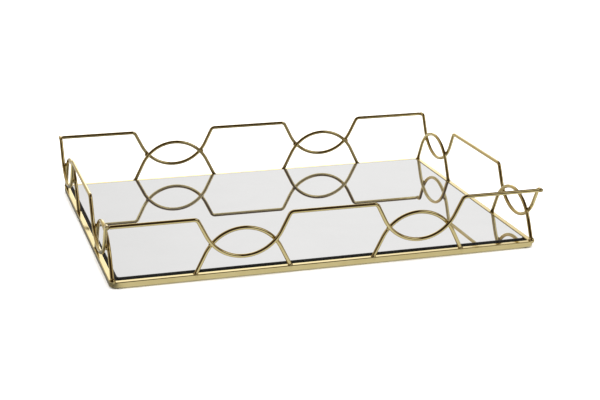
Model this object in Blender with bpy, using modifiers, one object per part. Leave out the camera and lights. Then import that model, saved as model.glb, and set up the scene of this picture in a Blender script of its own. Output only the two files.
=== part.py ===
"""Dresser vanity tray: a mirror in a polished bar frame, with a gallery of bent wire round it.

Run with: blender --background --python part.py
Units are metres, +Z is up, +X runs along the long side and the front faces -Y. The origin is on
the surface that the tray stands on, under its centre.
"""

import math

import bmesh
import bpy
from mathutils import Matrix, Vector

# Driving dimensions
TRAY_LENGTH = 0.400  # over the rails, left to right
TRAY_DEPTH = 0.288  # over the rails, front to back
JOINT_GAP = 0.0003  # between pieces that touch or are welded

WIRE_DIAMETER = 0.0035
WIRE_SLOPE = math.radians(63.5)  # of the legs and of the rails' slopes, from the horizontal
LENS_RADIUS = 0.0375  # of the arches' crowns and of the rails' dips
BEND_RADIUS = 0.0045  # where a rail turns from its flat into a slope
RAIL_HEIGHT = 0.050  # of a rail's centre line above the frame's top face
ARCH_HEIGHT = 0.0381  # of an arch's centre line above the frame's top face
DIP_HEIGHT = 0.0138  # of a dip's lowest centre line above the frame's top face
LONG_ARCH_OFFSET = 0.0808  # from the middle of a long side to the middle of an arch
SHORT_ARCH_OFFSET = 0.0957  # the same on a short side

BAR_WIDTH = 0.005
BAR_HEIGHT = 0.005
BAR_EDGE_RADIUS = 0.0006
FRAME_CORNER_RADIUS = 0.007  # of the frame's outline

GLASS_THICKNESS = 0.003
GLASS_RISE = 0.0012  # of the mirror's face above the frame's top face
GLASS_MARGIN = 0.0035  # between the mirror and the front and back bars
GLASS_SIDE_MARGIN = 0.0024  # between the mirror and the side bars
GLASS_CORNER_RADIUS = 0.003
GLASS_EDGE_CHAMFER = 0.0004

BOARD_THICKNESS = 0.002
BOARD_MARGIN = 0.0005
LEDGE_WIDTH = 0.010
LEDGE_THICKNESS = 0.0008

PAD_DIAMETER = 0.010
PAD_THICKNESS = 0.001
PAD_INSET = 0.005  # of a pad's centre from the bars' centre lines

# Resolution
CROWN_STEP = math.radians(11)  # between points round a crown or a dip
BEND_STEP = math.radians(22)  # between points round a tight bend
CORNER_SEGMENTS = 6
PAD_SIDES = 24

# Places worked out from the driving dimensions
WIRE_RADIUS = WIRE_DIAMETER / 2
RAIL_X = TRAY_LENGTH / 2 - WIRE_RADIUS
RAIL_Y = TRAY_DEPTH / 2 - WIRE_RADIUS
PLANE_STEP = WIRE_DIAMETER + JOINT_GAP  # the rails stand outside the arches
ARCH_X = RAIL_X - PLANE_STEP
ARCH_Y = RAIL_Y - PLANE_STEP
FRAME_BOTTOM = PAD_THICKNESS + JOINT_GAP
FRAME_TOP = FRAME_BOTTOM + BAR_HEIGHT
FRAME_X = ARCH_X + BAR_WIDTH / 2  # outer faces of the bars
FRAME_Y = ARCH_Y + BAR_WIDTH / 2
INNER_X = FRAME_X - BAR_WIDTH
INNER_Y = FRAME_Y - BAR_WIDTH
GLASS_TOP = FRAME_TOP + GLASS_RISE
BOARD_TOP = GLASS_TOP - GLASS_THICKNESS - JOINT_GAP
LEDGE_TOP = BOARD_TOP - BOARD_THICKNESS - JOINT_GAP

# Long sides lie along X, short sides along Y; a side's own axis t runs to the right or to the back
SIDES = {
    "front": (0, -1),
    "back": (0, 1),
    "left": (-1, 0),
    "right": (1, 0),
}


def start_scene():
    for obj in list(bpy.data.objects):
        bpy.data.objects.remove(obj, do_unlink=True)
    collections = {}
    for name in ("dresser_vanity_tray", "cutters"):
        collection = bpy.data.collections.new(name)
        bpy.context.scene.collection.children.link(collection)
        collections[name] = collection
    return collections


def make_material(name, color, roughness, metallic):
    material = bpy.data.materials.new(name)
    material.use_nodes = True
    shader = material.node_tree.nodes["Principled BSDF"]
    shader.inputs["Base Color"].default_value = (*color, 1)
    shader.inputs["Roughness"].default_value = roughness
    shader.inputs["Metallic"].default_value = metallic
    return material


def place_object(name, mesh, material, collection, parent=None):
    obj = bpy.data.objects.new(name, mesh)
    mesh.materials.clear()
    mesh.materials.append(material)
    obj.parent = parent
    collection.objects.link(obj)
    return obj


def mesh_from_bmesh(name, bm):
    bmesh.ops.recalc_face_normals(bm, faces=bm.faces)
    mesh = bpy.data.meshes.new(name)
    bm.to_mesh(mesh)
    bm.free()
    return mesh


def bent_path(corners, radii, steps):
    """The corners of a bent wire's centre line, each rounded with an arc of its own radius."""
    path = [corners[0]]
    for i in range(1, len(corners) - 1):
        arriving = (corners[i] - corners[i - 1]).normalized()
        leaving = (corners[i + 1] - corners[i]).normalized()
        turn = arriving.angle_signed(leaving)
        side = math.copysign(1, turn)
        start = corners[i] - arriving * radii[i] * math.tan(abs(turn) / 2)
        centre = start + Vector((arriving.y, -arriving.x)) * radii[i] * side
        count = max(2, math.ceil(abs(turn) / steps[i]))
        for n in range(count + 1):
            path.append(centre + Matrix.Rotation(-turn * n / count, 2) @ (start - centre))
    path.append(corners[-1])
    return path


def wire_mesh(name, points):
    """A round wire through the points, as a closed mesh."""
    curve = bpy.data.curves.new(name, "CURVE")
    curve.dimensions = "3D"
    curve.bevel_depth = WIRE_RADIUS
    curve.bevel_resolution = 2
    curve.use_fill_caps = True
    spline = curve.splines.new("POLY")
    spline.points.add(len(points) - 1)
    for spline_point, point in zip(spline.points, points):
        spline_point.co = (*point, 1)
    guide = bpy.data.objects.new(f"{name}_path", curve)
    bpy.context.scene.collection.objects.link(guide)
    evaluated = guide.evaluated_get(bpy.context.evaluated_depsgraph_get())
    mesh = bpy.data.meshes.new_from_object(evaluated)
    bpy.data.objects.remove(guide, do_unlink=True)
    bpy.data.curves.remove(curve)
    bm = bmesh.new()
    bm.from_mesh(mesh)
    bpy.data.meshes.remove(mesh)
    bmesh.ops.remove_doubles(bm, verts=bm.verts, dist=1e-6)
    return bm


def trim_below(bm, height):
    """Cuts a wire level at a height and closes the cut."""
    geometry = bm.verts[:] + bm.edges[:] + bm.faces[:]
    bmesh.ops.bisect_plane(
        bm, geom=geometry, dist=1e-7, plane_co=(0, 0, height), plane_no=(0, 0, 1), clear_inner=True
    )
    open_edges = [edge for edge in bm.edges if edge.is_boundary]
    bmesh.ops.holes_fill(bm, edges=open_edges)


def shade_round(mesh):
    mesh.shade_smooth()
    mesh.set_sharp_from_angle(angle=math.radians(50))


def on_side(side, offset, path, plane_x, plane_y):
    """A path of (t, height above the frame's top face) stood up in the plane of one side."""
    x, y = SIDES[side]
    points = []
    for t, height in path:
        along = t + offset
        z = FRAME_TOP + height
        points.append((x * plane_x, along, z) if x else (along, y * plane_y, z))
    return points


def overshoot():
    """How far past a crown or a dip its two straight slopes would meet."""
    return LENS_RADIUS * (1 / math.cos(WIRE_SLOPE) - 1)


def arch_path():
    peak = ARCH_HEIGHT + overshoot()
    low_end = -WIRE_DIAMETER  # below the frame's top face, for the level cut
    reach = (peak - low_end) / math.tan(WIRE_SLOPE)
    corners = [Vector((-reach, low_end)), Vector((0, peak)), Vector((reach, low_end))]
    return bent_path(corners, [0, LENS_RADIUS, 0], [0, CROWN_STEP, 0])


def rail_path(end, arch_offset):
    """A whole rail: a level end, a dip, the level middle, a dip and a level end."""
    lowest = DIP_HEIGHT - overshoot()
    reach = (RAIL_HEIGHT - lowest) / math.tan(WIRE_SLOPE)  # from a dip's middle to its bends
    half = [
        (-end, RAIL_HEIGHT, 0, 0),
        (-arch_offset - reach, RAIL_HEIGHT, BEND_RADIUS, BEND_STEP),
        (-arch_offset, lowest, LENS_RADIUS, CROWN_STEP),
        (reach - arch_offset, RAIL_HEIGHT, BEND_RADIUS, BEND_STEP),
    ]
    whole = half + [(-t, z, radius, step) for t, z, radius, step in reversed(half)]
    corners = [Vector((t, z)) for t, z, _, _ in whole]
    return bent_path(corners, [row[2] for row in whole], [row[3] for row in whole])


def make_arches(material, collection, parent):
    for side in SIDES:
        offset = LONG_ARCH_OFFSET if side in ("front", "back") else SHORT_ARCH_OFFSET
        ends = ("left", "right") if side in ("front", "back") else ("front", "back")
        for end, sign in zip(ends, (-1, 1)):
            name = f"arch_{side}_{end}"
            bm = wire_mesh(name, on_side(side, sign * offset, arch_path(), ARCH_X, ARCH_Y))
            trim_below(bm, FRAME_TOP + JOINT_GAP)
            mesh = mesh_from_bmesh(name, bm)
            shade_round(mesh)
            place_object(name, mesh, material, collection, parent)


def make_rails(material, collection, parent):
    """The side rails run through to the corners, and the long rails butt against them."""
    long_path = rail_path(RAIL_X - WIRE_RADIUS - JOINT_GAP, LONG_ARCH_OFFSET)
    short_path = rail_path(TRAY_DEPTH / 2, SHORT_ARCH_OFFSET)
    for side in SIDES:
        path = long_path if side in ("front", "back") else short_path
        name = f"rail_{side}"
        mesh = mesh_from_bmesh(name, wire_mesh(name, on_side(side, 0, path, RAIL_X, RAIL_Y)))
        shade_round(mesh)
        place_object(name, mesh, material, collection, parent)


def rounded_slab(name, half_x, half_y, top, thickness, corner_radius, edge=0.0):
    """A level plate with round corners in plan and, if asked, a small chamfer round its top."""
    bm = bmesh.new()
    size = Matrix.Diagonal((2 * half_x, 2 * half_y, thickness, 1))
    centre = Matrix.Translation((0, 0, top - thickness / 2))
    bmesh.ops.create_cube(bm, size=1, matrix=centre @ size)
    if corner_radius:
        upright = [e for e in bm.edges if abs(e.verts[0].co.z - e.verts[1].co.z) > thickness / 2]
        bmesh.ops.bevel(
            bm, geom=upright, offset=corner_radius, segments=CORNER_SEGMENTS, affect="EDGES", profile=0.5
        )
    if edge:
        rim = [e for e in bm.edges if all(abs(v.co.z - top) < 1e-7 for v in e.verts)]
        bmesh.ops.bevel(bm, geom=rim, offset=edge, segments=1, affect="EDGES")
    return mesh_from_bmesh(name, bm)


def make_bars(material, collection, cutters, parent):
    """Four bars with mitred ends, whose outer corners are ground round together."""
    ring = rounded_slab("frame_ring", FRAME_X, FRAME_Y, FRAME_TOP, BAR_HEIGHT, FRAME_CORNER_RADIUS)
    hollow = rounded_slab("frame_hollow", INNER_X, INNER_Y, FRAME_TOP + BAR_HEIGHT, 3 * BAR_HEIGHT, 0)
    hollow_cutter = place_object("cut_frame_hollow", hollow, material, cutters)
    mark_cutter(hollow_cutter)
    mitre_gap = JOINT_GAP / math.sqrt(2)
    for side, (x, y) in SIDES.items():
        name = f"bar_{side}"
        bar = place_object(name, ring.copy(), material, collection, parent)
        wedge = place_object(f"cut_{name}", mitre_wedge(name, x, y, mitre_gap), material, cutters)
        mark_cutter(wedge)
        for cutter, operation in ((hollow_cutter, "DIFFERENCE"), (wedge, "INTERSECT")):
            cut = bar.modifiers.new(cutter.name, "BOOLEAN")
            cut.object = cutter
            cut.operation = operation
            cut.solver = "EXACT"
        soften = bar.modifiers.new("soft_edges", "BEVEL")
        soften.width = BAR_EDGE_RADIUS
        soften.segments = 1
        soften.limit_method = "ANGLE"
        soften.angle_limit = math.radians(60)
    bpy.data.meshes.remove(ring)


def mitre_wedge(name, x, y, gap):
    """The block that keeps one side's share of the ring, bounded by the mitres at both corners."""
    reach = (FRAME_X if y else FRAME_Y) + BAR_WIDTH  # past the ring's outer corners
    outer_face = (FRAME_Y if y else FRAME_X) + BAR_WIDTH
    depth = 3 * BAR_WIDTH  # from there to behind the bar's inner face
    outline = [
        (gap - reach, outer_face),
        (reach - gap, outer_face),
        (reach - depth - gap, outer_face - depth),
        (depth + gap - reach, outer_face - depth),
    ]
    bm = bmesh.new()
    verts = []
    for along, out in outline:
        point = (along, y * out) if y else (x * out, along)
        verts.append(bm.verts.new((*point, FRAME_BOTTOM - BAR_HEIGHT)))
    face = bm.faces.new(verts)
    lifted = bmesh.ops.extrude_face_region(bm, geom=[face])
    moved = [item for item in lifted["geom"] if isinstance(item, bmesh.types.BMVert)]
    bmesh.ops.translate(bm, verts=moved, vec=(0, 0, 3 * BAR_HEIGHT))
    return mesh_from_bmesh(f"{name}_wedge", bm)


def mark_cutter(obj):
    obj.display_type = "WIRE"
    obj.hide_render = True


def make_ledges(material, collection, parent):
    """Flat strips welded inside the bars, level with their underside, that carry the board."""
    outer_x = INNER_X - JOINT_GAP
    outer_y = INNER_Y - JOINT_GAP
    side_reach = outer_y - LEDGE_WIDTH - JOINT_GAP
    for side, (x, y) in SIDES.items():
        half_along = outer_x if y else side_reach
        half_x = half_along if y else LEDGE_WIDTH / 2
        half_y = LEDGE_WIDTH / 2 if y else half_along
        name = f"ledge_{side}"
        mesh = rounded_slab(name, half_x, half_y, LEDGE_TOP, LEDGE_THICKNESS, 0)
        shift = Vector((x * (outer_x - LEDGE_WIDTH / 2), y * (outer_y - LEDGE_WIDTH / 2), 0))
        mesh.transform(Matrix.Translation(shift))
        place_object(name, mesh, material, collection, parent)


def make_pads(material, collection, parent):
    for end, y in (("front", -1), ("back", 1)):
        for side, x in (("left", -1), ("right", 1)):
            bm = bmesh.new()
            bmesh.ops.create_cone(
                bm,
                cap_ends=True,
                segments=PAD_SIDES,
                radius1=PAD_DIAMETER / 2,
                radius2=PAD_DIAMETER / 2,
                depth=PAD_THICKNESS,
            )
            name = f"foot_pad_{end}_{side}"
            pad = place_object(name, mesh_from_bmesh(name, bm), material, collection, parent)
            pad.location = (x * (ARCH_X - PAD_INSET), y * (ARCH_Y - PAD_INSET), PAD_THICKNESS / 2)


def main():
    collections = start_scene()
    tray = collections["dresser_vanity_tray"]
    cutters = collections["cutters"]
    brass = make_material("polished_brass", (0.76, 0.62, 0.32), 0.18, 1.0)
    mirror = make_material("mirror", (0.86, 0.87, 0.86), 0.03, 1.0)
    board = make_material("black_board", (0.02, 0.02, 0.018), 0.7, 0.0)
    felt = make_material("black_felt", (0.03, 0.03, 0.03), 0.95, 0.0)

    origin = bpy.data.objects.new("tray_origin", None)
    tray.objects.link(origin)

    make_bars(brass, tray, cutters, origin)
    make_arches(brass, tray, origin)
    make_rails(brass, tray, origin)
    make_ledges(brass, tray, origin)

    glass_x = INNER_X - GLASS_SIDE_MARGIN
    glass_y = INNER_Y - GLASS_MARGIN
    glass = rounded_slab(
        "mirror_glass", glass_x, glass_y, GLASS_TOP, GLASS_THICKNESS, GLASS_CORNER_RADIUS, GLASS_EDGE_CHAMFER
    )
    place_object("mirror_glass", glass, mirror, tray, origin)
    board_x = INNER_X - BOARD_MARGIN
    board_y = INNER_Y - BOARD_MARGIN
    backing = rounded_slab("backing_board", board_x, board_y, BOARD_TOP, BOARD_THICKNESS, 0)
    place_object("backing_board", backing, board, tray, origin)
    make_pads(felt, tray, origin)


main()
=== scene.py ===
# A vanity tray: a mirror in a frame of polished gold bars, with a gallery of bent gold wire round it.
# Lengths are in metres. The front faces -Y and the long sides run along X.

import math

import bmesh
import bpy
import numpy as np
from mathutils import Matrix, Vector, noise


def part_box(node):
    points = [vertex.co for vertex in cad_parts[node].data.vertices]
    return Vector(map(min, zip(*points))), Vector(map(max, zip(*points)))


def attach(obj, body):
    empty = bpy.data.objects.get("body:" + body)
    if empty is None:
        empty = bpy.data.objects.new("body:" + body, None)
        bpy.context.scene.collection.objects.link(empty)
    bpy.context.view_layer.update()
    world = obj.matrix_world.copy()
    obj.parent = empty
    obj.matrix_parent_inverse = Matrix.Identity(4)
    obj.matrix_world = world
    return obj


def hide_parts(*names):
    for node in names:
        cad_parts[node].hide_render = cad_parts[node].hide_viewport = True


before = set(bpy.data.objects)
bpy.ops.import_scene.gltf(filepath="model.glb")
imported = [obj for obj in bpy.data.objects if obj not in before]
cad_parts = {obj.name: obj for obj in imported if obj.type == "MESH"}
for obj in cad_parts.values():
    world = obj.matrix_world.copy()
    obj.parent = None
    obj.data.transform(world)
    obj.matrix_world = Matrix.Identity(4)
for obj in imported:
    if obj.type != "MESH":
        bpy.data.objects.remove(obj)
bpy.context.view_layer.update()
print("frame loaded:", len(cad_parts), "nodes")

longSides = ("front", "back")
shortSides = ("left", "right")
body = "root"


# Node helpers

def addNode(tree, kind, inputs=None, **settings):
    node = tree.nodes.new(kind)
    for key, value in settings.items():
        setattr(node, key, value)
    for key, value in (inputs or {}).items():
        if isinstance(value, bpy.types.NodeSocket):
            tree.links.new(value, node.inputs[key])
        else:
            node.inputs[key].default_value = value
    return node


def addMath(tree, operation, a, b=0.0, clamp=False):
    return addNode(tree, "ShaderNodeMath", {0: a, 1: b}, operation=operation, use_clamp=clamp).outputs[0]


def fadeBetween(tree, value, start, end, first, last):
    # Goes smoothly from first, where value is start, to last, where it is end
    fade = addNode(
        tree, "ShaderNodeMapRange",
        {"Value": value, "From Min": start, "From Max": end, "To Min": first, "To Max": last},
        interpolation_type="SMOOTHSTEP",
    )
    return fade.outputs[0]


def startTree(name, inputs):
    # A Geometry Nodes tree with one geometry in and out, and named inputs for its sizes
    tree = bpy.data.node_groups.new(name, "GeometryNodeTree")
    tree.interface.new_socket("Geometry", in_out="INPUT", socket_type="NodeSocketGeometry")
    tree.interface.new_socket("Geometry", in_out="OUTPUT", socket_type="NodeSocketGeometry")
    for label, kind in inputs:
        tree.interface.new_socket(label, in_out="INPUT", socket_type="NodeSocket" + kind)
    return tree, tree.nodes.new("NodeGroupInput").outputs


def endTree(tree, geometry, material):
    realized = addNode(tree, "GeometryNodeRealizeInstances", {0: geometry})
    painted = addNode(tree, "GeometryNodeSetMaterial", {0: realized.outputs[0], "Material": material})
    out = tree.nodes.new("NodeGroupOutput")
    tree.links.new(painted.outputs[0], out.inputs[0])


def runTree(tree, guide, sizes, name, weighted=False):
    # Runs the tree on a guide mesh, and returns what it makes as a plain object
    carrier = bpy.data.objects.new(name + "_guide", guide)
    bpy.context.scene.collection.objects.link(carrier)
    modifier = carrier.modifiers.new("build", "NODES")
    modifier.node_group = tree
    for item in tree.interface.items_tree:
        if item.item_type == "SOCKET" and item.in_out == "INPUT" and item.name in sizes:
            modifier[item.identifier] = sizes[item.name]
    if weighted:
        carrier.modifiers.new("flatFaces", "WEIGHTED_NORMAL").weight = 100
    evaluated = carrier.evaluated_get(bpy.context.evaluated_depsgraph_get())
    mesh = bpy.data.meshes.new_from_object(evaluated)
    mesh.name = name
    bpy.data.objects.remove(carrier, do_unlink=True)
    return placePiece(name, mesh)


def placePiece(name, mesh, materials=()):
    piece = bpy.data.objects.new(name, mesh)
    bpy.context.scene.collection.objects.link(piece)
    for material in materials:
        mesh.materials.append(material)
    return piece


def finishPiece(piece, slot, *nodes):
    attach(piece, body)
    if nodes:
        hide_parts(*nodes)
    return piece


# Materials

def startMaterial(name):
    material = bpy.data.materials.new(name)
    material.use_nodes = True
    tree = material.node_tree
    shader = tree.nodes["Principled BSDF"]
    return material, tree, shader


def noiseField(tree, vector, scale, detail=3.0, roughness=0.5, low=0.0, high=1.0):
    field = addNode(
        tree, "ShaderNodeTexNoise",
        {"Vector": vector, "Scale": scale, "Detail": detail, "Roughness": roughness},
    )
    spread = addNode(
        tree, "ShaderNodeMapRange",
        {"Value": field.outputs["Fac"], "From Min": 0.3, "From Max": 0.7, "To Min": low, "To Max": high},
    )
    return spread.outputs[0]


def mixColors(tree, factor, first, second):
    mix = addNode(tree, "ShaderNodeMix", {0: factor}, data_type="RGBA")
    for index, color in ((6, first), (7, second)):
        if isinstance(color, bpy.types.NodeSocket):
            tree.links.new(color, mix.inputs[index])
        else:
            mix.inputs[index].default_value = (*color, 1)
    return mix.outputs[2]


goldFinish = {
    "plate": (0.89, 0.76, 0.39),
    "thinPlate": (0.79, 0.645, 0.29),  # where the plating is a shade thinner
    "heated": (0.20, 0.13, 0.065),  # round the welds
    "polish": (0.04, 0.085),  # lowest and highest roughness
    "polishScale": 360,
    "heatedRoughness": 0.3,  # added at a weld
    "blotchScale": 90,
    "streakScale": 26,  # of the long soft streaks that polishing leaves along a bar or wire
    "streakSpread": 0.16,  # how much they change round it
    "drawnScale": 1500,  # of the fine lines that the die leaves along a wire
    "drawnStretch": 0.02,
    "drawnStrength": 0.35,
    "drawnDepth": 0.000004,
    "pittingScale": 2200,  # at the welds
    "pittingDepth": 0.00005,
}


def makeGold(name, dull=0.0):
    material, tree, shader = startMaterial(name)
    place = addNode(tree, "ShaderNodeTexCoord").outputs["Object"]
    heat = addNode(tree, "ShaderNodeAttribute", attribute_name="weldHeat").outputs["Fac"]
    along = addNode(tree, "ShaderNodeAttribute", attribute_name="alongWire").outputs["Fac"]
    around = addNode(tree, "ShaderNodeAttribute", attribute_name="aroundWire").outputs["Fac"]
    blotches = noiseField(tree, place, goldFinish["blotchScale"], detail=4)
    bands = addMath(tree, "MULTIPLY", around, goldFinish["streakSpread"])
    streakVector = addNode(tree, "ShaderNodeCombineXYZ", {0: along, 1: bands})
    streaks = noiseField(tree, streakVector.outputs[0], goldFinish["streakScale"], detail=3)
    thinning = addMath(tree, "MULTIPLY", addMath(tree, "ADD", blotches, streaks), 0.5)
    plated = mixColors(tree, thinning, goldFinish["plate"], goldFinish["thinPlate"])
    tree.links.new(mixColors(tree, heat, plated, goldFinish["heated"]), shader.inputs["Base Color"])
    finest, coarsest = (value + dull for value in goldFinish["polish"])
    polish = noiseField(tree, place, goldFinish["polishScale"], low=finest, high=coarsest)
    heatRough = addMath(tree, "MULTIPLY", heat, goldFinish["heatedRoughness"])
    tree.links.new(addMath(tree, "ADD", polish, heatRough), shader.inputs["Roughness"])
    stretched = addMath(tree, "MULTIPLY", along, goldFinish["drawnStretch"])
    lineVector = addNode(tree, "ShaderNodeCombineXYZ", {0: stretched, 1: around})
    lines = noiseField(tree, lineVector.outputs[0], goldFinish["drawnScale"], detail=2)
    grain = addNode(
        tree, "ShaderNodeBump",
        {"Strength": goldFinish["drawnStrength"], "Distance": goldFinish["drawnDepth"], "Height": lines},
    )
    pitting = noiseField(tree, place, goldFinish["pittingScale"], detail=2)
    pitted = addNode(
        tree, "ShaderNodeBump",
        {
            "Strength": heat, "Distance": goldFinish["pittingDepth"], "Height": pitting,
            "Normal": grain.outputs[0],
        },
    )
    tree.links.new(pitted.outputs[0], shader.inputs["Normal"])
    shader.inputs["Metallic"].default_value = 1
    return material


mirrorFinish = {
    "silver": (0.82, 0.815, 0.81),
    "smear": (0.80, 0.797, 0.79),
    "smearScale": 14,
    "silvering": (0.955, 0.985),  # the rest is a faint haze of dust and wiping
    "hazeScale": 22,
    "hazeStretch": (1, 2.6, 1),
    "waveScale": 26,  # of the glass
    "waveDepth": 0.0000012,
    "specular": 0.2,
    "edge": (0.016, 0.017, 0.017),
    "edgeLight": (0.042, 0.044, 0.043),
    "edgeScale": 900,
    "edgeDepth": 0.00002,
    "edgeStrength": 0.3,
    "edgeRoughness": (0.16, 0.34),
    "edgeRoughnessScale": 500,
    "glassIndex": 1.52,
}


def makeMirror():
    material, tree, shader = startMaterial("silveredGlass")
    place = addNode(tree, "ShaderNodeTexCoord").outputs["Object"]
    smears = noiseField(tree, place, mirrorFinish["smearScale"], detail=5, roughness=0.6)
    tree.links.new(
        mixColors(tree, smears, mirrorFinish["silver"], mirrorFinish["smear"]), shader.inputs["Base Color"]
    )
    low, high = mirrorFinish["silvering"]
    stretch = addNode(tree, "ShaderNodeMapping", {"Vector": place, "Scale": mirrorFinish["hazeStretch"]})
    wiped = noiseField(
        tree, stretch.outputs[0], mirrorFinish["hazeScale"], detail=7, roughness=0.65, low=high, high=low
    )
    tree.links.new(wiped, shader.inputs["Metallic"])
    waves = noiseField(tree, place, mirrorFinish["waveScale"], detail=1)
    bump = addNode(
        tree, "ShaderNodeBump", {"Strength": 1.0, "Distance": mirrorFinish["waveDepth"], "Height": waves}
    )
    tree.links.new(bump.outputs[0], shader.inputs["Normal"])
    shader.inputs["Roughness"].default_value = 0
    shader.inputs["Specular IOR Level"].default_value = mirrorFinish["specular"]
    return material


def makeGlassEdge():
    material, tree, shader = startMaterial("seamedGlassEdge")
    place = addNode(tree, "ShaderNodeTexCoord").outputs["Object"]
    ground = noiseField(tree, place, mirrorFinish["edgeScale"], detail=3)
    tree.links.new(
        mixColors(tree, ground, mirrorFinish["edge"], mirrorFinish["edgeLight"]), shader.inputs["Base Color"]
    )
    low, high = mirrorFinish["edgeRoughness"]
    grinding = noiseField(tree, place, mirrorFinish["edgeRoughnessScale"], low=low, high=high)
    tree.links.new(grinding, shader.inputs["Roughness"])
    bump = addNode(
        tree, "ShaderNodeBump",
        {"Strength": mirrorFinish["edgeStrength"], "Distance": mirrorFinish["edgeDepth"], "Height": ground},
    )
    tree.links.new(bump.outputs[0], shader.inputs["Normal"])
    shader.inputs["IOR"].default_value = mirrorFinish["glassIndex"]
    return material


boardFinish = {
    "paint": (0.012, 0.012, 0.012),
    "fleck": (0.020, 0.019, 0.018),
    "fleckScale": 60,
    "fibre": (0.034, 0.032, 0.030),
    "fibreScale": 420,
    "fibreStretch": (1, 3.2, 1),
    "fibreStrength": 0.5,
    "fibreDepth": 0.00008,
    "roughness": (0.62, 0.86),
    "roughnessScale": 300,
}


def makeBoard():
    material, tree, shader = startMaterial("blackFibreboard")
    place = addNode(tree, "ShaderNodeTexCoord").outputs["Object"]
    stretch = addNode(tree, "ShaderNodeMapping", {"Vector": place, "Scale": boardFinish["fibreStretch"]})
    fibres = noiseField(tree, stretch.outputs[0], boardFinish["fibreScale"], detail=6, roughness=0.7)
    flecks = noiseField(tree, place, boardFinish["fleckScale"], detail=3)
    base = mixColors(tree, flecks, boardFinish["paint"], boardFinish["fleck"])
    tree.links.new(mixColors(tree, fibres, base, boardFinish["fibre"]), shader.inputs["Base Color"])
    low, high = boardFinish["roughness"]
    wear = noiseField(tree, place, boardFinish["roughnessScale"], low=low, high=high)
    tree.links.new(wear, shader.inputs["Roughness"])
    bump = addNode(
        tree, "ShaderNodeBump",
        {"Strength": boardFinish["fibreStrength"], "Distance": boardFinish["fibreDepth"], "Height": fibres},
    )
    tree.links.new(bump.outputs[0], shader.inputs["Normal"])
    return material


feltFinish = {
    "deep": (0.010, 0.010, 0.011),
    "light": (0.040, 0.039, 0.040),
    "woolScale": 2600,
    "woolStrength": 0.9,
    "woolDepth": 0.0002,
    "roughness": 0.95,
    "sheen": 0.4,
    "sheenRoughness": 0.5,
}


def makeFelt():
    material, tree, shader = startMaterial("blackFelt")
    place = addNode(tree, "ShaderNodeTexCoord").outputs["Object"]
    wool = noiseField(tree, place, feltFinish["woolScale"], detail=6, roughness=0.75)
    tree.links.new(
        mixColors(tree, wool, feltFinish["deep"], feltFinish["light"]), shader.inputs["Base Color"]
    )
    bump = addNode(
        tree, "ShaderNodeBump",
        {"Strength": feltFinish["woolStrength"], "Distance": feltFinish["woolDepth"], "Height": wool},
    )
    tree.links.new(bump.outputs[0], shader.inputs["Normal"])
    shader.inputs["Roughness"].default_value = feltFinish["roughness"]
    shader.inputs["Sheen Weight"].default_value = feltFinish["sheen"]
    shader.inputs["Sheen Roughness"].default_value = feltFinish["sheenRoughness"]
    return material


ledgeDulling = 0.16  # added to the gold's roughness where it was never polished
polishedGold = makeGold("polishedGold")
ledgeGold = makeGold("dullPlatedSteel", dull=ledgeDulling)
silveredGlass = makeMirror()
glassEdge = makeGlassEdge()
blackBoard = makeBoard()
blackFelt = makeFelt()
print("materials made")


# The gallery: rails outside, arches inside, in two planes that touch

gallery = {
    "slope": math.radians(63.5),  # of the legs and of the rails' slopes
    "crownRadius": 0.0375,  # of the arches' crowns and of the rails' dips
    "bendRadius": 0.0045,  # where a rail turns from its flat into a slope
    "bendSteps": 64,
    "wireSides": 24,
    "step": 0.0005,  # between rings along a wire
    "waviness": 0.00012,  # of hand bent wire
    "wavesPerMetre": 14,
    "endRounding": 0.0006,
    "seedStep": 7.3,  # between one side's waves and the next
}

railLow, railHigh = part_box("rail_front")
sideRailLow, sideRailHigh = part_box("rail_right")
archLow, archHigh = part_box("arch_front_left")
sideArchLow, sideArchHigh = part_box("arch_right_front")
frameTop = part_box("bar_front")[1].z
wireRadius = (railHigh.y - railLow.y) / 2
railZ = railHigh.z - wireRadius
dipZ = railLow.z + wireRadius
crownZ = archHigh.z - wireRadius
archOffsets = {"long": -(archLow.x + archHigh.x) / 2, "short": -(sideArchLow.y + sideArchHigh.y) / 2}
railPlanes = {"long": -(railLow.y + railHigh.y) / 2, "short": (sideRailLow.x + sideRailHigh.x) / 2}
archPlanes = {"long": -(archLow.y + archHigh.y) / 2, "short": (sideArchLow.x + sideArchHigh.x) / 2}
railEnds = {"long": railHigh.x, "short": sideRailHigh.y}
archFootZ = archLow.z
overshoot = gallery["crownRadius"] * (1 / math.cos(gallery["slope"]) - 1)  # of the slopes' meeting point


def sideKind(side):
    return "long" if side in longSides else "short"


def sidePoint(side, along, out, z):
    # A point on one side, from its place along the side and its distance out from the middle
    sign = 1 if side in ("back", "right") else -1
    return Vector((along, sign * out, z)) if side in longSides else Vector((sign * out, along, z))


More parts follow.
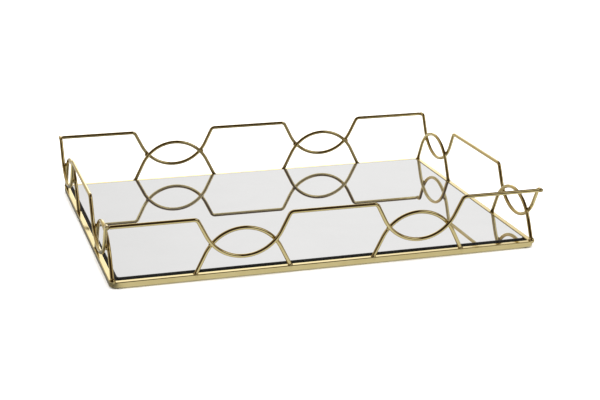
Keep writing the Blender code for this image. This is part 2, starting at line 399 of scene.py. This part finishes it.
def makeWireTree():
    tree, given = startTree("bentWire", [
        ("Diameter", "Float"), ("Sides", "Int"), ("Step", "Float"), ("Waviness", "Float"),
        ("Waves", "Float"), ("End rounding", "Float"), ("Seed", "Float"), ("Material", "Material"),
    ])
    bend = addNode(tree, "GeometryNodeInputNamedAttribute", {"Name": "bendRadius"}, data_type="FLOAT")
    path = addNode(tree, "GeometryNodeMeshToCurve", {0: given["Geometry"]})
    bent = addNode(
        tree, "GeometryNodeFilletCurve",
        {
            "Curve": path.outputs[0], "Count": gallery["bendSteps"], "Radius": bend.outputs[0],
            "Limit Radius": False,
        },
        mode="POLY",
    )
    even = addNode(
        tree, "GeometryNodeResampleCurve", {"Curve": bent.outputs[0], "Length": given["Step"]}, mode="LENGTH"
    )
    # Each wave leads inwards and down, so that no wire leaves the tray's own size
    position = addNode(tree, "GeometryNodeInputPosition").outputs[0]
    wave = addNode(
        tree, "ShaderNodeTexNoise",
        {"Vector": position, "W": given["Seed"], "Scale": given["Waves"], "Detail": 1.0},
        noise_dimensions="4D",
    )
    outward = addNode(tree, "ShaderNodeVectorMath", {0: position}, operation="SIGN")
    spread = addNode(tree, "ShaderNodeSeparateXYZ", {0: outward.outputs[0]})
    inwardX = addMath(tree, "MULTIPLY", spread.outputs[0], -1)
    inwardY = addMath(tree, "MULTIPLY", spread.outputs[1], -1)
    inward = addNode(tree, "ShaderNodeCombineXYZ", {0: inwardX, 1: inwardY, 2: -1})
    share = addNode(
        tree, "ShaderNodeVectorMath", {0: wave.outputs["Color"], 1: inward.outputs[0]}, operation="MULTIPLY"
    )
    offset = addNode(
        tree, "ShaderNodeVectorMath", {0: share.outputs[0], "Scale": given["Waviness"]}, operation="SCALE"
    )
    waved = addNode(
        tree, "GeometryNodeSetPosition", {"Geometry": even.outputs[0], "Offset": offset.outputs[0]}
    )
    # The wire's ends are tumbled round
    spline = addNode(tree, "GeometryNodeSplineParameter")
    total = addNode(tree, "GeometryNodeSplineLength").outputs["Length"]
    toEnd = addMath(tree, "SUBTRACT", total, spline.outputs["Length"])
    nearest = addMath(tree, "MINIMUM", toEnd, spline.outputs["Length"])
    inside = addMath(tree, "DIVIDE", nearest, given["End rounding"], clamp=True)
    missing = addMath(tree, "SUBTRACT", 1.0, inside)
    squared = addMath(tree, "MULTIPLY", missing, missing)
    kept = addMath(tree, "SQRT", addMath(tree, "SUBTRACT", 1.0, squared))
    drop = addMath(tree, "SUBTRACT", 1.0, kept)
    radius = addMath(tree, "DIVIDE", given["Diameter"], 2.0)
    narrowed = addMath(tree, "SUBTRACT", radius, addMath(tree, "MULTIPLY", drop, given["End rounding"]))
    marked = addNode(
        tree, "GeometryNodeStoreNamedAttribute",
        {"Geometry": waved.outputs[0], "Name": "alongWire", "Value": spline.outputs["Length"]},
        data_type="FLOAT", domain="POINT",
    )
    ring = addNode(tree, "GeometryNodeCurvePrimitiveCircle", {"Resolution": given["Sides"], "Radius": 1.0})
    ringMarked = addNode(
        tree, "GeometryNodeStoreNamedAttribute",
        {"Geometry": ring.outputs[0], "Name": "aroundWire", "Value": spline.outputs["Factor"]},
        data_type="FLOAT", domain="POINT",
    )
    tube = addNode(
        tree, "GeometryNodeCurveToMesh",
        {
            "Curve": marked.outputs[0], "Profile Curve": ringMarked.outputs[0], "Scale": narrowed,
            "Fill Caps": True,
        },
    )
    smooth = addNode(tree, "GeometryNodeSetShadeSmooth", {"Geometry": tube.outputs[0]})
    endTree(tree, smooth.outputs[0], given["Material"])
    return tree


def guideMesh(name, points, bends):
    mesh = bpy.data.meshes.new(name)
    mesh.from_pydata(points, [(n, n + 1) for n in range(len(points) - 1)], [])
    attribute = mesh.attributes.new("bendRadius", "FLOAT", "POINT")
    attribute.data.foreach_set("value", bends)
    return mesh


def bendWire(name, points, bends, seed):
    sizes = {
        "Diameter": wireRadius * 2, "Sides": gallery["wireSides"], "Step": gallery["step"],
        "Waviness": gallery["waviness"], "Waves": gallery["wavesPerMetre"],
        "End rounding": gallery["endRounding"], "Seed": seed, "Material": polishedGold,
    }
    return runTree(wireTree, guideMesh(name + "_path", points, bends), sizes, name)


def railCorners(kind):
    # (along, z, bend radius): a level end, a dip, the level middle, a dip and a level end
    vertexZ = dipZ - overshoot
    reach = (railZ - vertexZ) / math.tan(gallery["slope"])
    corners = [(-railEnds[kind], railZ, 0)]
    for middle in (-archOffsets[kind], archOffsets[kind]):
        corners.append((middle - reach, railZ, gallery["bendRadius"]))
        corners.append((middle, vertexZ, gallery["crownRadius"]))
        corners.append((middle + reach, railZ, gallery["bendRadius"]))
    return corners + [(railEnds[kind], railZ, 0)]


def archCorners(middle):
    peakZ = crownZ + overshoot
    lowZ = archFootZ - wireRadius * 2  # below the frame's top, for the level cut
    reach = (peakZ - lowZ) / math.tan(gallery["slope"])
    return [(middle - reach, lowZ, 0), (middle, peakZ, gallery["crownRadius"]), (middle + reach, lowZ, 0)]


def trimLevel(mesh, height):
    # Cuts the feet level and closes them
    bm = bmesh.new()
    bm.from_mesh(mesh)
    everything = bm.verts[:] + bm.edges[:] + bm.faces[:]
    bmesh.ops.bisect_plane(
        bm, geom=everything, dist=1e-8, plane_co=(0, 0, height), plane_no=(0, 0, 1), clear_inner=True
    )
    bmesh.ops.holes_fill(bm, edges=[edge for edge in bm.edges if edge.is_boundary])
    bm.to_mesh(mesh)
    bm.free()


wireTree = makeWireTree()
wires = []
for number, side in enumerate(longSides + shortSides):
    kind = sideKind(side)
    seed = number * gallery["seedStep"]
    corners = railCorners(kind)
    points = [sidePoint(side, along, railPlanes[kind], z) for along, z, bend in corners]
    rail = bendWire(side + "_rail_wire", points, [corner[2] for corner in corners], seed)
    wires.append((rail, "rail_" + side))
    for end, name in zip((-1, 1), ("left", "right") if kind == "long" else ("front", "back")):
        corners = archCorners(end * archOffsets[kind])
        points = [sidePoint(side, along, archPlanes[kind], z) for along, z, bend in corners]
        arch = bendWire(f"{side}_{name}_arch_wire", points, [corner[2] for corner in corners], seed + end)
        trimLevel(arch.data, archFootZ)
        wires.append((arch, f"arch_{side}_{name}"))
print("wires bent:", len(wires))


# The frame: four square bars with soft edges, mitred in the middle of each round corner

barShape = {
    "edgeRadius": 0.0007,
    "edgeSteps": 5,
    "cornerRadius": 0.007,  # of the frame's outline
    "arcSteps": 12,  # in each half corner
    "mitreGap": 0.0003,
    "ringStep": 0.0012,
}
frameOutX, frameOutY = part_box("bar_right")[1].x, -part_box("bar_front")[0].y
barBottom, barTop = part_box("bar_front")[0].z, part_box("bar_front")[1].z
barHeight = barTop - barBottom
barWidth = barHeight  # the bars are square
barX, barY, barZ = frameOutX - barWidth / 2, frameOutY - barWidth / 2, (barTop + barBottom) / 2


def makeBarTree():
    tree, given = startTree("softBar", [
        ("Width", "Float"), ("Edge radius", "Float"), ("Step", "Float"), ("Material", "Material"),
    ])
    path = addNode(tree, "GeometryNodeMeshToCurve", {0: given["Geometry"]})
    even = addNode(
        tree, "GeometryNodeResampleCurve", {"Curve": path.outputs[0], "Length": given["Step"]}, mode="LENGTH"
    )
    upright = addNode(tree, "GeometryNodeSetCurveNormal", {"Curve": even.outputs[0]}, mode="Z_UP")
    spline = addNode(tree, "GeometryNodeSplineParameter")
    marked = addNode(
        tree, "GeometryNodeStoreNamedAttribute",
        {"Geometry": upright.outputs[0], "Name": "alongWire", "Value": spline.outputs["Length"]},
        data_type="FLOAT", domain="POINT",
    )
    square = addNode(
        tree, "GeometryNodeCurvePrimitiveQuadrilateral", {"Width": given["Width"], "Height": given["Width"]}
    )
    soft = addNode(
        tree, "GeometryNodeFilletCurve",
        {"Curve": square.outputs[0], "Count": barShape["edgeSteps"], "Radius": given["Edge radius"]},
        mode="POLY",
    )
    softMarked = addNode(
        tree, "GeometryNodeStoreNamedAttribute",
        {"Geometry": soft.outputs[0], "Name": "aroundWire", "Value": spline.outputs["Factor"]},
        data_type="FLOAT", domain="POINT",
    )
    bar = addNode(
        tree, "GeometryNodeCurveToMesh",
        {"Curve": marked.outputs[0], "Profile Curve": softMarked.outputs[0], "Fill Caps": True},
    )
    smooth = addNode(tree, "GeometryNodeSetShadeSmooth", {"Geometry": bar.outputs[0]})
    endTree(tree, smooth.outputs[0], given["Material"])
    return tree


def cornerArc(signX, signY, start, end, steps):
    # Points of the bars' centre line round one corner, between two angles from the X axis
    radius = barShape["cornerRadius"] - barWidth / 2
    centre = Vector((signX * (barX - radius), signY * (barY - radius), barZ))
    angles = [start + (end - start) * n / steps for n in range(steps + 1)]
    return [centre + radius * Vector((signX * math.cos(a), signY * math.sin(a), 0)) for a in angles]


def barPath(side):
    radius = barShape["cornerRadius"] - barWidth / 2
    mitre = math.radians(45)
    halfGap = barShape["mitreGap"] / 2 / radius
    sign = 1 if side in ("back", "right") else -1
    steps = barShape["arcSteps"]
    if side in longSides:
        first = cornerArc(-1, sign, mitre + halfGap, math.radians(90), steps)
        return first + cornerArc(1, sign, math.radians(90), mitre + halfGap, steps)
    first = cornerArc(sign, -1, mitre - halfGap, 0, steps)
    return first + cornerArc(sign, 1, 0, mitre - halfGap, steps)


barTree = makeBarTree()
bars = []
for side in longSides + shortSides:
    path = barPath(side)
    sizes = {
        "Width": barWidth, "Edge radius": barShape["edgeRadius"], "Step": barShape["ringStep"],
        "Material": polishedGold,
    }
    guide = guideMesh(side + "_bar_path", path, [0] * len(path))
    bar = runTree(barTree, guide, sizes, side + "_bar_gold", True)
    bars.append((bar, "bar_" + side))
print("bars made:", len(bars))


# The welds: at the arches' feet, where the wires cross, at the rails' ends and at the mitres

weldShape = {
    "footSpread": 0.0023,
    "footHeight": 0.0015,
    "cornerFoot": 0.0029,  # the ball at the side arches' front feet
    "crossingSpread": 0.0021,
    "crossingDepth": 0.0015,
    "railCornerSpread": 0.0021,
    "lumps": 0.00034,
    "lumpSink": 0.6,  # the share of a lump's height that goes inwards
    "lumpScale": 900,
    "heatReach": 0.0008,  # how far the heat has browned the plating
    "browning": 0.42,  # the most that it has
}


def makeBeadTree():
    # A lumpy bead at each point of the guide, sized by its own attribute
    tree, given = startTree("weldBeads", [
        ("Lumps", "Float"), ("Lump scale", "Float"), ("Seed", "Int"), ("Material", "Material"),
    ])
    size = addNode(tree, "GeometryNodeInputNamedAttribute", {"Name": "beadSize"}, data_type="FLOAT_VECTOR")
    turn = addNode(tree, "GeometryNodeInputNamedAttribute", {"Name": "beadTurn"}, data_type="FLOAT_VECTOR")
    ball = addNode(tree, "GeometryNodeMeshIcoSphere", {"Radius": 1.0, "Subdivisions": 4})
    onPoints = addNode(
        tree, "GeometryNodeInstanceOnPoints",
        {"Points": given["Geometry"], "Instance": ball.outputs[0], "Scale": size.outputs[0]},
    )
    turned = addNode(
        tree, "GeometryNodeRotateInstances", {"Instances": onPoints.outputs[0], "Rotation": turn.outputs[0]}
    )
    solid = addNode(tree, "GeometryNodeRealizeInstances", {0: turned.outputs[0]})
    position = addNode(tree, "GeometryNodeInputPosition").outputs[0]
    normal = addNode(tree, "GeometryNodeInputNormal").outputs[0]
    lumps = addNode(
        tree, "ShaderNodeTexNoise",
        {"Vector": position, "W": given["Seed"], "Scale": given["Lump scale"], "Detail": 2.0},
        noise_dimensions="4D",
    )
    raised = addMath(tree, "SUBTRACT", lumps.outputs["Fac"], weldShape["lumpSink"])
    depth = addMath(tree, "MULTIPLY", raised, given["Lumps"])
    push = addNode(tree, "ShaderNodeVectorMath", {0: normal, "Scale": depth}, operation="SCALE")
    lumpy = addNode(
        tree, "GeometryNodeSetPosition", {"Geometry": solid.outputs[0], "Offset": push.outputs[0]}
    )
    smooth = addNode(tree, "GeometryNodeSetShadeSmooth", {"Geometry": lumpy.outputs[0]})
    endTree(tree, smooth.outputs[0], given["Material"])
    return tree


def makeBeads(name, beads, seed):
    # beads: (place, size along each axis, turn about each axis)
    mesh = bpy.data.meshes.new(name + "_points")
    mesh.from_pydata([bead[0] for bead in beads], [], [])
    for attributeName, index in (("beadSize", 1), ("beadTurn", 2)):
        attribute = mesh.attributes.new(attributeName, "FLOAT_VECTOR", "POINT")
        attribute.data.foreach_set("vector", [value for bead in beads for value in bead[index]])
    sizes = {
        "Lumps": weldShape["lumps"], "Lump scale": weldShape["lumpScale"], "Seed": seed,
        "Material": polishedGold,
    }
    return runTree(beadTree, mesh, sizes, name)


def crossingPlace():
    # How far from an arch's middle, and how high, an arch's leg crosses a rail's slope
    height = (crownZ + dipZ) / 2
    return (crownZ + overshoot - height) / math.tan(gallery["slope"]), height


beadTree = makeBeadTree()
crossingReach, crossingZ = crossingPlace()
footReach = (crownZ + overshoot - frameTop) / math.tan(gallery["slope"])
feet, crossings = [], []
for side in longSides + shortSides:
    kind = sideKind(side)
    between = (railPlanes[kind] + archPlanes[kind]) / 2
    spread, height = weldShape["footSpread"], weldShape["footHeight"]
    ball = weldShape["cornerFoot"]
    wide, deep = weldShape["crossingSpread"], weldShape["crossingDepth"]
    for middle in (-archOffsets[kind], archOffsets[kind]):
        for leg in (-1, 1):
            foot = sidePoint(side, middle + leg * footReach, archPlanes[kind], frameTop)
            atFrontCorner = kind == "short" and middle < 0 and leg < 0
            size = (ball, ball, ball) if atFrontCorner else (spread, spread, height)
            feet.append((foot, size, (0, 0, 0)))
            crossing = sidePoint(side, middle + leg * crossingReach, between, crossingZ)
            size = (wide, deep, wide) if kind == "long" else (deep, wide, wide)
            crossings.append((crossing, size, (0, 0, 0)))
railBall = weldShape["railCornerSpread"]
ballSink = railBall - wireRadius  # so that it stays inside the rails' own outline
railJoins = [
    (Vector((x * (railPlanes["short"] - ballSink), y * (railPlanes["long"] - ballSink), railZ - ballSink)),
     (railBall, railBall, railBall), (0, 0, 0))
    for x in (-1, 1) for y in (-1, 1)
]
arcMiddle = (barShape["cornerRadius"] - barWidth / 2) * (1 - math.cos(math.radians(45)))
mitrePlaces = [
    Vector((x * (barX - arcMiddle), y * (barY - arcMiddle), barZ)) for x in (-1, 1) for y in (-1, 1)
]
footWelds = makeBeads("foot_welds", feet, 1)
crossingWelds = makeBeads("crossing_welds", crossings, 2)
railWelds = makeBeads("rail_corner_welds", railJoins, 3)


def joinPieces(name, parts):
    bm = bmesh.new()
    for part in parts:
        bm.from_mesh(part.data)
    mesh = bpy.data.meshes.new(name)
    bm.to_mesh(mesh)
    bm.free()
    mesh.materials.append(parts[0].data.materials[0])
    for part in parts:
        bpy.data.objects.remove(part, do_unlink=True)
    return placePiece(name, mesh)


mitreShape = {"halfWidth": 0.0009, "recess": 0.00012, "step": 0.0003, "arcSteps": 4}


def makeMitreSeams():
    # What fills each mitre: a thin slice of the bar's own section, ground a hair below its faces
    radius = barShape["cornerRadius"] - barWidth / 2
    half = mitreShape["halfWidth"] / radius
    mitre = math.radians(45)
    seams = []
    for x in (-1, 1):
        for y in (-1, 1):
            path = cornerArc(x, y, mitre - half, mitre + half, mitreShape["arcSteps"])
            sizes = {
                "Width": barWidth - mitreShape["recess"], "Edge radius": barShape["edgeRadius"],
                "Step": mitreShape["step"], "Material": polishedGold,
            }
            seams.append(runTree(barTree, guideMesh("seam_path", path, [0] * len(path)), sizes, "seam", True))
    return joinPieces("mitre_welds", seams)


mitreWelds = makeMitreSeams()
weldPlaces = np.array(
    [tuple(bead[0]) for bead in feet + crossings + railJoins] + [tuple(place) for place in mitrePlaces]
)


def brownAtWelds(mesh, floor=0.0):
    # weldHeat is 1 at a weld and fades over heatReach
    count = len(mesh.vertices)
    places = np.empty(count * 3)
    mesh.vertices.foreach_get("co", places)
    places = places.reshape(-1, 3)
    nearest = np.full(count, 1.0)
    for weld in weldPlaces:
        nearest = np.minimum(nearest, np.linalg.norm(places - weld, axis=1))
    fade = np.exp(-((np.maximum(nearest - wireRadius, 0) / weldShape["heatReach"]) ** 2))
    attribute = mesh.attributes.new("weldHeat", "FLOAT", "POINT")
    attribute.data.foreach_set("value", np.maximum(fade * weldShape["browning"], floor).astype(np.float32))


for piece, node in wires + bars:
    brownAtWelds(piece.data)
    finishPiece(piece, "polished_gold", node)
leastHeat = {"foot": 0.25, "crossing": 0.1, "rail": 0.1, "mitre": 0.25}
beads = {"foot": footWelds, "crossing": crossingWelds, "rail": railWelds, "mitre": mitreWelds}
for kind, piece in beads.items():
    brownAtWelds(piece.data, leastHeat[kind])
    finishPiece(piece, "polished_gold")
print("welds made:", len(weldPlaces))


# Flat pieces: the mirror, the board under it and the ledges that carry both

sharpAngle = math.radians(24)


def roundedSheet(name, low, high, radius, steps, chamfer, chamferSteps=1):
    # A flat sheet with round corners and a chamfer round both faces
    bm = bmesh.new()
    outline = []
    for signX, signY, turn in ((1, 1, 0), (-1, 1, 90), (-1, -1, 180), (1, -1, 270)):
        centreX = (high.x - radius) if signX > 0 else (low.x + radius)
        centreY = (high.y - radius) if signY > 0 else (low.y + radius)
        for n in range(steps + 1):
            angle = math.radians(turn + 90 * n / steps)
            outline.append(bm.verts.new(
                (centreX + radius * math.cos(angle), centreY + radius * math.sin(angle), low.z)
            ))
    bottom = bm.faces.new(outline)
    grown = bmesh.ops.extrude_face_region(bm, geom=[bottom])
    top = [item for item in grown["geom"] if isinstance(item, bmesh.types.BMVert)]
    bmesh.ops.translate(bm, verts=top, vec=(0, 0, high.z - low.z))
    bmesh.ops.recalc_face_normals(bm, faces=bm.faces)
    rims = [edge for edge in bm.edges if edge.verts[0].co.z == edge.verts[1].co.z]
    bmesh.ops.bevel(
        bm, geom=rims, offset=chamfer, segments=chamferSteps, affect="EDGES", profile=0.5, clamp_overlap=True
    )
    mesh = bpy.data.meshes.new(name)
    bm.to_mesh(mesh)
    bm.free()
    mesh.shade_smooth()
    mesh.set_sharp_from_angle(angle=sharpAngle)
    return mesh


mirrorShape = {"cornerRadius": 0.003, "cornerSteps": 16, "chamfer": 0.0004}
boardShape = {"cornerRadius": 0.002, "cornerSteps": 8, "chamfer": 0.00025}
ledgeShape = {"cornerRadius": 0.0012, "cornerSteps": 6, "chamfer": 0.00015, "chamferSteps": 2}

mirrorMesh = roundedSheet(
    "mirror_sheet", *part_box("mirror_glass"), mirrorShape["cornerRadius"], mirrorShape["cornerSteps"],
    mirrorShape["chamfer"],
)
mirror = placePiece("mirror_sheet", mirrorMesh, (silveredGlass, glassEdge))
for face in mirrorMesh.polygons:
    face.material_index = 0 if face.normal.z > 0.99 else 1
finishPiece(mirror, "mirror", "mirror_glass")

boardMesh = roundedSheet(
    "board_sheet", *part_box("backing_board"), boardShape["cornerRadius"], boardShape["cornerSteps"],
    boardShape["chamfer"],
)
finishPiece(placePiece("board_sheet", boardMesh, (blackBoard,)), "black_board", "backing_board")

for side in longSides + shortSides:
    ledgeMesh = roundedSheet(
        side + "_ledge_strip", *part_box("ledge_" + side), ledgeShape["cornerRadius"],
        ledgeShape["cornerSteps"], ledgeShape["chamfer"], ledgeShape["chamferSteps"],
    )
    finishPiece(placePiece(side + "_ledge_strip", ledgeMesh, (ledgeGold,)), "ledge_steel", "ledge_" + side)
print("mirror, board and ledges made")


# The felt pads under the corners

padShape = {
    "sides": 48, "edgeRadius": 0.00035, "edgeSteps": 3, "cuts": 2, "fuzz": 0.00006, "fuzzScale": 2400,
}


def makePad(name, low, high):
    radius = (high.x - low.x) / 2
    bm = bmesh.new()
    bmesh.ops.create_cone(
        bm, cap_ends=True, segments=padShape["sides"], radius1=radius, radius2=radius, depth=high.z - low.z
    )
    centre = (low + high) / 2
    bmesh.ops.translate(bm, verts=bm.verts, vec=centre)
    rims = [edge for edge in bm.edges if edge.verts[0].co.z == edge.verts[1].co.z]
    bmesh.ops.bevel(
        bm, geom=rims, offset=padShape["edgeRadius"], segments=padShape["edgeSteps"], affect="EDGES",
        profile=0.5,
    )
    bmesh.ops.triangulate(bm, faces=[face for face in bm.faces if len(face.verts) > 4])
    bmesh.ops.subdivide_edges(bm, edges=bm.edges, cuts=padShape["cuts"], use_grid_fill=True)
    for vert in bm.verts:
        pull = abs(noise.noise(vert.co * padShape["fuzzScale"])) * padShape["fuzz"]
        vert.co -= (vert.co - centre).normalized() * pull
    mesh = bpy.data.meshes.new(name)
    bm.to_mesh(mesh)
    bm.free()
    mesh.shade_smooth()
    return placePiece(name, mesh, (blackFelt,))


for end in longSides:
    for hand in shortSides:
        node = f"foot_pad_{end}_{hand}"
        finishPiece(makePad(f"{end}_{hand}_felt_pad", *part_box(node)), "felt", node)
print("pads made")


# Camera, floor and light

cameraSet = {
    "place": (-0.3581, -1.1660, 0.4209),
    "yaw": -17.68,
    "pitch": 18.27,
    "roll": 0.887,
    "lens": 79.22,
}
camera = bpy.data.objects.new("camera", bpy.data.cameras.new("camera"))
bpy.context.scene.collection.objects.link(camera)
camera.data.lens = cameraSet["lens"]
camera.data.sensor_width = 36
camera.matrix_world = (
    Matrix.Translation(cameraSet["place"])
    @ Matrix.Rotation(math.radians(cameraSet["yaw"]), 4, "Z")
    @ Matrix.Rotation(math.radians(90 - cameraSet["pitch"]), 4, "X")
    @ Matrix.Rotation(math.radians(cameraSet["roll"]), 4, "Z")
)
bpy.context.scene.camera = camera

studio = {
    "floorSize": 12,
    "floorColor": (0.90, 0.90, 0.895),
    "floorPatches": (3, 0.985),  # scale, and how much darker
    "floorRoughness": 0.9,
    "floorSpecular": 0.1,
    "floorGlow": 0.66,  # what the polished metal sees of the floor close to the tray
    # How that fades: each has two places, and the share that is left at each
    "spreadFade": (0.30, 0.90, 1.0, 0.55),  # by distance from the tray's middle
    "frontFade": (-0.46, -0.23, 0.05, 1.0),
    "shadowStripFade": (0.006, 0.022, 0.30, 1.0),  # by distance from a line next to the left bar; a painted contact shadow in the floor's glow
    "shadowStripLine": -0.204,
    "sunStrength": 5.4,
    "sunSoftness": 120,
    "backdrop": (0.97, 0.97, 0.965),  # what is seen past the floor
    "room": (0.030, 0.017, 0.008),  # the dim warm room that the polished metal sees between the panels
    "tent": (0.945, 0.60),  # the white tent that only the mirror's sharp reflection sees, low and overhead
    "tentInMetal": 0.28,  # the share of it that the metal sees by way of the mirror
    "tentFront": 0.78,  # the share of it that is left in front
    "tentHeights": (0.35, 0.95),
    "tentDepths": (-0.7, 0.2),
    "tentAcross": (-0.05, 0.32, 0.87, 1.0),
    "dimPanel": (1.0, 0.80, 0.54),  # the panels' light is warmer where it is weak
    # Soft white panels: heading and height in degrees, half widths where each starts and ends to fade,
    # and how bright. Heading 0 is behind the tray and 90 to its right.
    "panels": (
        (-2, 5, 20, 44, 0.50),
        (16, 8, 5, 13, 0.80),
        (16, 12, 7, 21, 0.40),
        (14, 30, 10, 28, 0.34),
        (-4, 58, 10, 30, 0.30),
        (127, 40, 11, 20, 1.0),
        (-104, 27, 6, 17, 0.36),
        (110, 5, 10, 24, 0.40),
        (-72, 22, 14, 34, 0.08),
        (70, 22, 16, 38, 0.22),
        (-54, 36, 14, 36, 0.30),
    ),
}


def makeFloor():
    bm = bmesh.new()
    bmesh.ops.create_grid(bm, x_segments=8, y_segments=8, size=studio["floorSize"] / 2)
    mesh = bpy.data.meshes.new("floor")
    bm.to_mesh(mesh)
    bm.free()
    material, tree, shader = startMaterial("paleFloor")
    place = addNode(tree, "ShaderNodeTexCoord").outputs["Object"]
    color = studio["floorColor"]
    patchScale, shade = studio["floorPatches"]
    patches = noiseField(tree, place, patchScale)
    patchy = mixColors(tree, patches, color, [value * shade for value in color])
    tree.links.new(patchy, shader.inputs["Base Color"])
    shader.inputs["Roughness"].default_value = studio["floorRoughness"]
    shader.inputs["Specular IOR Level"].default_value = studio["floorSpecular"]
    # The metal sees the floor's light fall off away from the tray, most of all in front, and a painted
    # contact shadow: a dim strip next to the left bar
    axes = addNode(tree, "ShaderNodeSeparateXYZ", {0: place})
    distance = addNode(tree, "ShaderNodeVectorMath", {0: place}, operation="LENGTH").outputs["Value"]
    spread = fadeBetween(tree, distance, *studio["spreadFade"])
    front = fadeBetween(tree, axes.outputs[1], *studio["frontFade"])
    # A painted contact shadow: the floor's glow is dimmed in a narrow strip next to the left bar, as if the
    # bar shaded it
    fromLine = addMath(tree, "ABSOLUTE", addMath(tree, "SUBTRACT", axes.outputs[0], studio["shadowStripLine"]))
    paintedShadow = fadeBetween(tree, fromLine, *studio["shadowStripFade"])
    falloff = addMath(tree, "MULTIPLY", addMath(tree, "MULTIPLY", spread, front), paintedShadow)
    glow = addMath(tree, "MULTIPLY", falloff, studio["floorGlow"])
    emission = addNode(tree, "ShaderNodeEmission", {"Strength": glow})
    seen = addNode(tree, "ShaderNodeLightPath").outputs["Is Glossy Ray"]
    mix = addNode(tree, "ShaderNodeMixShader", {0: seen, 1: shader.outputs[0], 2: emission.outputs[0]})
    tree.links.new(mix.outputs[0], tree.nodes["Material Output"].inputs["Surface"])
    floor = placePiece("floor", mesh, (material,))


def makeWorld():
    world = bpy.data.worlds.new("studio")
    bpy.context.scene.world = world
    world.use_nodes = True
    tree = world.node_tree
    direction = addNode(tree, "ShaderNodeTexCoord").outputs["Generated"]
    total = 0.0
    for heading, height, full, faded, strength in studio["panels"]:
        around, up = math.radians(heading), math.radians(height)
        aim = (math.sin(around) * math.cos(up), math.cos(around) * math.cos(up), math.sin(up))
        facing = addNode(tree, "ShaderNodeVectorMath", {0: direction, 1: aim}, operation="DOT_PRODUCT")
        inside, outside = math.cos(math.radians(full)), math.cos(math.radians(faded))
        panel = fadeBetween(tree, facing.outputs["Value"], outside, inside, 0.0, strength)
        total = addMath(tree, "ADD", panel, total)
    warmth = mixColors(tree, total, studio["dimPanel"], (1, 1, 1))
    panels = addNode(tree, "ShaderNodeBackground", {"Color": warmth, "Strength": total})
    room = addNode(tree, "ShaderNodeBackground", {"Color": (*studio["room"], 1)})
    lit = addNode(tree, "ShaderNodeAddShader", {0: panels.outputs[0], 1: room.outputs[0]})
    # The mirror's sharp reflection sees a white tent, dimmer overhead and in front
    axes = addNode(tree, "ShaderNodeSeparateXYZ", {0: direction})
    low, high = studio["tent"]
    height = fadeBetween(tree, axes.outputs[2], *studio["tentHeights"], low, high)
    depth = fadeBetween(tree, axes.outputs[1], *studio["tentDepths"], studio["tentFront"], 1.0)
    across = fadeBetween(tree, axes.outputs[0], *studio["tentAcross"])
    tentGlow = addMath(tree, "MULTIPLY", addMath(tree, "MULTIPLY", height, depth), across)
    tent = addNode(tree, "ShaderNodeBackground", {"Color": (1, 1, 1, 1), "Strength": tentGlow})
    path = addNode(tree, "ShaderNodeLightPath")
    share = fadeBetween(tree, path.outputs["Glossy Depth"], 1.0, 2.0, 1.0, studio["tentInMetal"])
    sharp = addMath(tree, "MULTIPLY", path.outputs["Is Singular Ray"], share)
    mirrored = addNode(tree, "ShaderNodeMixShader", {0: sharp, 1: lit.outputs[0], 2: tent.outputs[0]})
    backdrop = addNode(tree, "ShaderNodeBackground", {"Color": (*studio["backdrop"], 1)})
    mix = addNode(
        tree, "ShaderNodeMixShader",
        {0: path.outputs["Is Camera Ray"], 1: mirrored.outputs[0], 2: backdrop.outputs[0]},
    )
    tree.links.new(mix.outputs[0], tree.nodes["World Output"].inputs["Surface"])


def makeSun():
    light = bpy.data.lights.new("overhead", "SUN")
    light.energy = studio["sunStrength"]
    light.angle = math.radians(studio["sunSoftness"])
    lamp = bpy.data.objects.new("overhead", light)
    lamp.visible_glossy = False
    bpy.context.scene.collection.objects.link(lamp)


makeFloor()
makeWorld()
makeSun()
bpy.context.scene.view_settings.view_transform = "Standard"
print("studio set")
